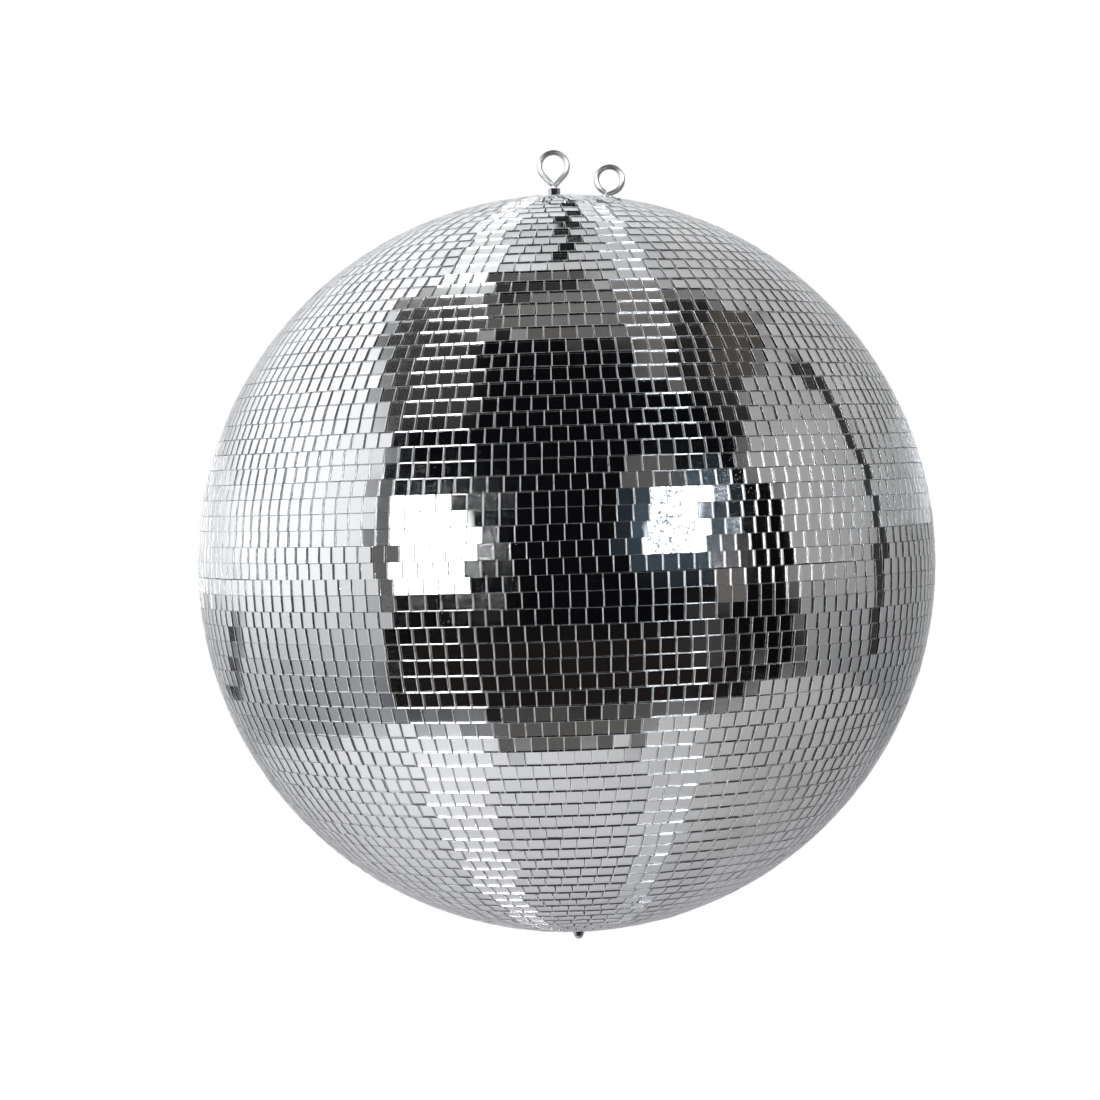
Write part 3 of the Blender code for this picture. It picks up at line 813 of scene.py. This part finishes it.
def band_tiles(rng, side, band, start_of_row):
    """Every tile of a band as arrays: place, size, turn and finish."""
    sign = 1.0 if side == "upper" else -1.0
    rows = []
    if band < FULL_BANDS:
        numbers = range(band * ROWS_PER_BAND, (band + 1) * ROWS_PER_BAND)
    else:
        numbers = [ROWS - 1, ROWS]
    crown_lat = math.acos(CROWN_HOLE_RADIUS / BALL_RADIUS)
    for number in numbers:
        if number < ROWS:
            lat = (number + 0.5) * ROW_PITCH
            lon, width = row_of_tiles(rng, lat, lat + ROW_PITCH / 2.0, start_of_row[number])
            narrow = width.copy()
            height = np.full(len(lon), TILE)
        else:
            near = ROWS * ROW_PITCH
            lat = (near + crown_lat) / 2.0
            lon = start_of_row[number] + np.arange(CROWN_TILES) * 2.0 * math.pi / CROWN_TILES
            height = np.full(CROWN_TILES, (crown_lat - near) * BALL_RADIUS - MEAN_GAP)
            ring = 2.0 * math.pi * BALL_RADIUS / CROWN_TILES
            width = np.full(CROWN_TILES, ring * math.cos(near) - CROWN_GAP)
            narrow = np.full(CROWN_TILES, ring * math.cos(crown_lat) - CROWN_GAP)
        count = len(lon)
        drift = smooth_wave(lon, lat, 0.0, ROW_DRIFT, [(3, 5.0), (5, -9.0), (11, 4.0)])
        ripple = smooth_wave(lon, number * 1.3, number * 2.1, ROW_RIPPLE, [(4, 1.0), (9, 2.0)])
        row_tilt = rng.normal(0.0, ROW_TILT)
        lean = smooth_wave(lon, number * 0.9, number * 3.7, ROW_LEAN, [(5, 1.0), (13, 2.0), (29, 1.0)])
        loose = rng.random(count) < LOOSE_TILE_SHARE
        spread = np.where(loose, LOOSE_TILE_TILT, TILE_TILT)
        swing = smooth_wave(lon, lat, 1.0, 0.002, [(3, 5.0), (7, 3.0)])
        rows.append({
            "lat": sign * (lat + (drift + ripple + rng.normal(0.0, TILE_SHIFT, count)) / BALL_RADIUS),
            "lon": lon,
            "wide": width,
            "narrow": narrow,
            "height": height,
            "pitch": row_tilt + lean + rng.normal(0.0, 1.0, count) * spread,
            "yaw": rng.normal(0.0, 1.0, count) * spread,
            "spin": rng.normal(0.0, TILE_SPIN, count) + swing,
            "rise": np.clip(rng.normal(0.0, TILE_RISE, count), -LARGEST_RISE, LARGEST_RISE),
            "tone": np.clip(rng.normal(0.55, 0.22, count), 0.0, 1.0),
            "hue": rng.random(count),
            "haze": np.clip(rng.gamma(2.0, 0.28, count), 0.06, 1.6),
            "seed": rng.random(count),
        })
    joined = {key: np.concatenate([row[key] for row in rows]) for key in rows[0]}
    joined["sign"] = sign
    return joined


def make_tile_band(rng, side, band, start_of_row):
    data = band_tiles(rng, side, band, start_of_row)
    lat, lon, sign = data["lat"], data["lon"], data["sign"]
    count = len(lat)
    outward = np.stack([np.cos(lat) * np.sin(lon), -np.cos(lat) * np.cos(lon), np.sin(lat)], 1)
    east = np.stack([np.cos(lon), np.sin(lon), np.zeros(count)], 1)
    north = np.cross(outward, east)
    north /= np.linalg.norm(north, axis=1, keepdims=True)

    pitch, yaw, spin = data["pitch"][:, None], data["yaw"][:, None], data["spin"][:, None]
    normal = outward + north * pitch + east * yaw
    normal /= np.linalg.norm(normal, axis=1, keepdims=True)
    across = east * np.cos(spin) + north * np.sin(spin)
    across -= normal * (across * normal).sum(1, keepdims=True)
    across /= np.linalg.norm(across, axis=1, keepdims=True)
    along = np.cross(normal, across)

    origin = outward * (FACE_RADIUS + data["rise"])[:, None] + np.array(BALL_CENTRE)
    half_height = data["height"] / 2.0
    pole_side = data["narrow"] / 2.0
    open_side = data["wide"] / 2.0
    top_half = pole_side if sign > 0 else open_side
    bottom_half = open_side if sign > 0 else pole_side
    corners = [
        (-bottom_half, -half_height), (bottom_half, -half_height), (top_half, half_height),
        (-top_half, half_height),
    ]

    def layer(inset_across, inset_along, depth):
        out = []
        for a, b in corners:
            a_in = a - np.sign(a) * inset_across
            b_in = b - np.sign(b) * inset_along
            out.append(origin + across * a_in[:, None] + along * b_in[:, None] - normal * depth)
        return out

    rings = layer(ARRIS_ACROSS, ARRIS_ALONG, 0.0)
    rings += layer(0.0, 0.0, ARRIS_DEPTH)
    rings += layer(0.0, 0.0, TILE_THICKNESS)
    verts = np.stack(rings, 1).reshape(-1, 3)

    # Top face, four arris strips, four sides, and the silvered back
    pattern = [(0, 1, 2, 3)]
    for index in range(4):
        nxt = (index + 1) % 4
        pattern.append((4 + index, 4 + nxt, nxt, index))
    for index in range(4):
        nxt = (index + 1) % 4
        pattern.append((8 + index, 8 + nxt, 4 + nxt, 4 + index))
    pattern.append((11, 10, 9, 8))
    faces = (np.array(pattern)[None] + len(rings) * np.arange(count)[:, None, None]).reshape(-1, 4)

    indices = np.tile(np.array([0, 1, 1, 1, 1, 2, 2, 2, 2, 3]), count)
    replaced = [f"mirror_tiles_{side}_{band + 1:02d}"]
    piece = add_piece(f"tiles_{side}_{band + 1:02d}", verts, faces, TILE_FINISHES, "ball", replaced,
                      indices=indices)
    mesh = piece.data
    for key in ("tone", "hue", "haze", "seed"):
        attribute = mesh.attributes.new(f"tile_{key}", "FLOAT", "FACE")
        attribute.data.foreach_set("value", np.repeat(data[key], len(pattern)).astype(np.float32))


def make_tiles():
    """All rows of both halves. Some rows start in line with the row before them, as on a hand-tiled ball."""
    rng = np.random.default_rng(SEED)
    for side in ("upper", "lower"):
        starts = []
        for number in range(ROWS + 1):
            aligned = number % ROWS_PER_BAND != 0 and rng.random() < ALIGNED_ROW_SHARE
            if aligned:
                starts.append(starts[-1] + rng.normal(0.0, ROW_START_SPREAD))
            else:
                starts.append(rng.random() * 2.0 * math.pi)
        for band in range(FULL_BANDS + 1):
            make_tile_band(rng, side, band, starts)


# ----------------------------------------------------------------------------------------------------
# Core

def make_core():
    """Two moulded half shells under the tiles, with a seam at the equator and a hole at each pole."""
    steps = CORE_STEPS
    for side, sign in (("upper", 1.0), ("lower", -1.0)):
        outer_pole = math.acos(CORE_HOLE_RADIUS / CORE_OUTER)
        inner_pole = math.acos(CORE_HOLE_RADIUS / CORE_INNER)
        rim = CORE_SEAM / CORE_OUTER
        outside = [rim + (outer_pole - rim) * step / steps for step in range(steps + 1)]
        inside = [inner_pole - (inner_pole - rim) * step / steps for step in range(steps + 1)]
        profile = [(CORE_OUTER * math.cos(a), CORE_OUTER * math.sin(a)) for a in outside]
        profile += [(CORE_INNER * math.cos(a), CORE_INNER * math.sin(a)) for a in inside]
        if sign < 0:
            profile = [(r, -z) for r, z in reversed(profile)]
        verts, faces = turned_solid(profile, CORE_SEGMENTS)
        verts = place(verts, Matrix.Translation(BALL_CENTRE))
        add_piece(f"core_{side}", verts, faces, [CORE_PLASTIC], "ball", [f"{side}_core"],
                  sharp=30)


# ----------------------------------------------------------------------------------------------------
# Eyes and hardware

def eye_path(loop_radius, leg_angle, bend_z, shank_end):
    """Centre line of a wire eye in its own XZ plane: threaded shank, bend, leg, loop, and the closing leg."""
    bend_right = EYE_BEND_RADIUS * (1.0 - math.cos(leg_angle))
    bend_top = bend_z + EYE_BEND_RADIUS * math.sin(leg_angle)
    # The right leg runs from the bend's end to where it meets the loop's circle
    touch_x = loop_radius * math.cos(leg_angle)
    centre_z = bend_top + (touch_x - bend_right) / math.tan(leg_angle) + loop_radius * math.sin(leg_angle)
    path = []
    shank_steps = max(8, int((bend_z - shank_end) / (THREAD_PITCH / 7.0)))
    for step in range(shank_steps):
        path.append((0.0, shank_end + (bend_z - shank_end) * step / shank_steps))
    straight = len(path)
    for step in range(9):
        turn = leg_angle * step / 8
        path.append((EYE_BEND_RADIUS * (1.0 - math.cos(turn)), bend_z + EYE_BEND_RADIUS * math.sin(turn)))
    for step in range(1, 8):
        share = step / 8.0
        path.append((bend_right + (touch_x - bend_right) * share,
                     bend_top + (centre_z - loop_radius * math.sin(leg_angle) - bend_top) * share))
    sweep = math.pi + 2.0 * leg_angle
    for step in range(97):
        turn = sweep * step / 96 - leg_angle
        path.append((loop_radius * math.cos(turn), centre_z + loop_radius * math.sin(turn)))
    crossing_z = centre_z - loop_radius / math.sin(leg_angle)
    end = WIRE_RADIUS / math.sin(2.0 * leg_angle)
    start_x, start_z = path[-1]
    end_x, end_z = -end * math.sin(leg_angle), crossing_z + end * math.cos(leg_angle)
    for step in range(1, 9):
        share = step / 8.0
        path.append((start_x + (end_x - start_x) * share, start_z + (end_z - start_z) * share))
    return path, straight


def make_eye(name, node, loop_radius, leg_angle, bend_z, shank_end, matrix, body):
    path, straight = eye_path(loop_radius, leg_angle, bend_z, shank_end)
    count = len(path)

    def radius_at(index, angle):
        if index >= straight - 12:
            ends = count - 1 - index
            return WIRE_RADIUS - (0.00035 if ends == 0 else 0.00010 if ends == 1 else 0.0)
        turns = path[index][1] / THREAD_PITCH - angle / (2.0 * math.pi)
        share = abs((turns % 1.0) * 2.0 - 1.0)
        fade = min(1.0, (straight - 12 - index) / 14.0) * min(1.0, (index + 4) / 10.0)
        return WIRE_RADIUS - THREAD_DEPTH * 1.6 * share * fade

    verts, faces = swept(path, radius_at, WIRE_SIDES)
    add_piece(name, place(verts, matrix), faces, [BRIGHT_WIRE], body, [node], sharp=50)


def add_steel(name, node, verts, faces, matrix, body, sharp):
    add_piece(name, place(verts, matrix), faces, [ZINC], body, [node], sharp=sharp)


def add_flat_ring(name, node, inner, outer, low, high, matrix, body):
    verts, faces = turned_solid(eased_ring(inner, outer, low, high, WASHER_EASE), HEX_SEGMENTS)
    add_steel(name, node, verts, faces, matrix, body, 40)


def split_washer(low, thick):
    """Spring washer: a square wire turned once, its ends a little apart."""
    high = low + thick
    corners = ((SPRING_BORE, low), (SPRING_RADIUS, low), (SPRING_RADIUS, high), (SPRING_BORE, high))
    verts = []
    for step in range(SPRING_STEPS + 1):
        share = step / SPRING_STEPS
        angle = SPRING_MOUTH / 2.0 + (2.0 * math.pi - SPRING_MOUTH) * share
        rise = thick * SPRING_RISE * (share - 0.5)
        for radius, z in corners:
            verts.append((radius * math.cos(angle), radius * math.sin(angle), z + rise))
    faces = []
    for step in range(SPRING_STEPS):
        for index in range(4):
            nxt = (index + 1) % 4
            faces.append((step * 4 + index, step * 4 + 4 + index, step * 4 + 4 + nxt, step * 4 + nxt))
    faces.append((0, 1, 2, 3))
    faces.append(tuple(SPRING_STEPS * 4 + index for index in (3, 2, 1, 0)))
    return verts, faces


def cap_nut_body(top, tip):
    """Domed cap nut: hexagon and dome in one solid with a blind bore, hanging dome down."""
    hex_bottom = top - CAP_HEX_HEIGHT
    dome_top = hex_bottom - DOME_STEP
    dome_height = hex_bottom - tip
    verts = []
    for step in range(HEX_SEGMENTS):
        angle = 2.0 * math.pi * step / HEX_SEGMENTS
        side = hex_radius(angle, HEX_ACROSS_FLATS)
        cut = max(0.0, side - CAP_CHAMFER_RADIUS) * HEX_CHAMFER_SLOPE
        flat = min(CAP_CHAMFER_RADIUS, side)
        ring = [
            (CAP_BORE, top - CAP_BORE_DEPTH), (CAP_BORE, top - COUNTERSINK), (CAP_BORE + COUNTERSINK, top),
            (flat, top), (side, top - cut), (side, hex_bottom + cut), (flat, hex_bottom),
            (DOME_RADIUS, dome_top),
        ]
        for part in range(1, DOME_RINGS):
            turn = math.pi / 2.0 * part / DOME_RINGS
            ring.append((DOME_RADIUS * math.cos(turn), dome_top - (dome_height - DOME_STEP) * math.sin(turn)))
        verts += turned_round(ring, angle)
    count = len(ring)
    drill_point = len(verts)
    dome_point = drill_point + 1
    verts += [(0.0, 0.0, top - CAP_DRILL_DEPTH), (0.0, 0.0, tip)]
    faces = []
    for step in range(HEX_SEGMENTS):
        here = step * count
        after = ((step + 1) % HEX_SEGMENTS) * count
        faces.append((drill_point, here, after))
        for index in range(count - 1):
            faces.append((here + index, here + index + 1, after + index + 1, after + index))
        faces.append((dome_point, after + count - 1, here + count - 1))
    return verts, faces


def make_hardware():
    axle = Matrix.Translation(BALL_CENTRE)
    tilted = axle @ Matrix.Rotation(SAFETY_TILT, 4, "Y")

    bend_z = nut_high.z - CENTRE_Z + PIECE_GAP
    shank_end = eye_low.z - CENTRE_Z
    make_eye("main_wire_eye", "main_eye", MAIN_LOOP_RADIUS, MAIN_LEG_ANGLE, bend_z, shank_end,
             axle, "suspension")
    safety_bend = BALL_RADIUS + SAFETY_WASHER_TOP
    make_eye("safety_wire_eye", "safety_eye", SAFETY_LOOP_RADIUS, SAFETY_LEG_ANGLE, safety_bend,
             safety_bend - SAFETY_SHANK_LENGTH, tilted, "ball")

    add_flat_ring("eye_flat_washer", "eye_washer", EYE_WASHER_BORE, WASHER_RADIUS,
                  washer_low.z - CENTRE_Z, washer_high.z - CENTRE_Z, axle, "suspension")
    add_flat_ring("cap_flat_washer", "cap_nut_washer", CAP_WASHER_BORE, WASHER_RADIUS,
                  cap_washer_low.z - CENTRE_Z, cap_washer_high.z - CENTRE_Z, axle, "suspension")
    add_flat_ring("safety_flat_washer", "safety_eye_washer", SAFETY_WASHER_BORE, SAFETY_WASHER_RADIUS,
                  BALL_RADIUS + PIECE_GAP, BALL_RADIUS + SAFETY_WASHER_TOP, tilted, "ball")

    verts, faces = hex_body(HEX_ACROSS_FLATS, NUT_BORE, nut_low.z - CENTRE_Z, nut_high.z - CENTRE_Z)
    add_steel("eye_hex_nut", "eye_lock_nut", verts, faces, axle, "suspension", 25)
    verts, faces = split_washer(spring_low.z - CENTRE_Z, spring_high.z - spring_low.z)
    add_steel("eye_split_washer", "eye_spring_washer", verts, faces, axle, "suspension", 40)
    verts, faces = cap_nut_body(cap_high.z - CENTRE_Z, cap_low.z - CENTRE_Z)
    add_steel("axle_cap_nut", "cap_nut", verts, faces, axle, "suspension", 25)


def dress_hidden_nodes():
    """Procedural materials for the CAD nodes that keep their own shape inside the ball."""
    finish = {
        "rod_coupling_nut": ZINC,
        "axle_rod": THREADED,
        "joint_ring": CORE_PLASTIC,
        "top_bush": NYLON,
        "bottom_bush": NYLON,
        "reinforcement_plate": ZINC,
        "safety_inner_washer": ZINC,
        "safety_lock_nut": ZINC,
    }
    for name, material in finish.items():
        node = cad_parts[name]
        node.data.materials.clear()
        node.data.materials.append(material)


# ----------------------------------------------------------------------------------------------------

make_camera()
make_world()
make_floor()
make_tiles()
make_core()
make_hardware()
dress_hidden_nodes()
bpy.context.scene.view_settings.view_transform = "Standard"
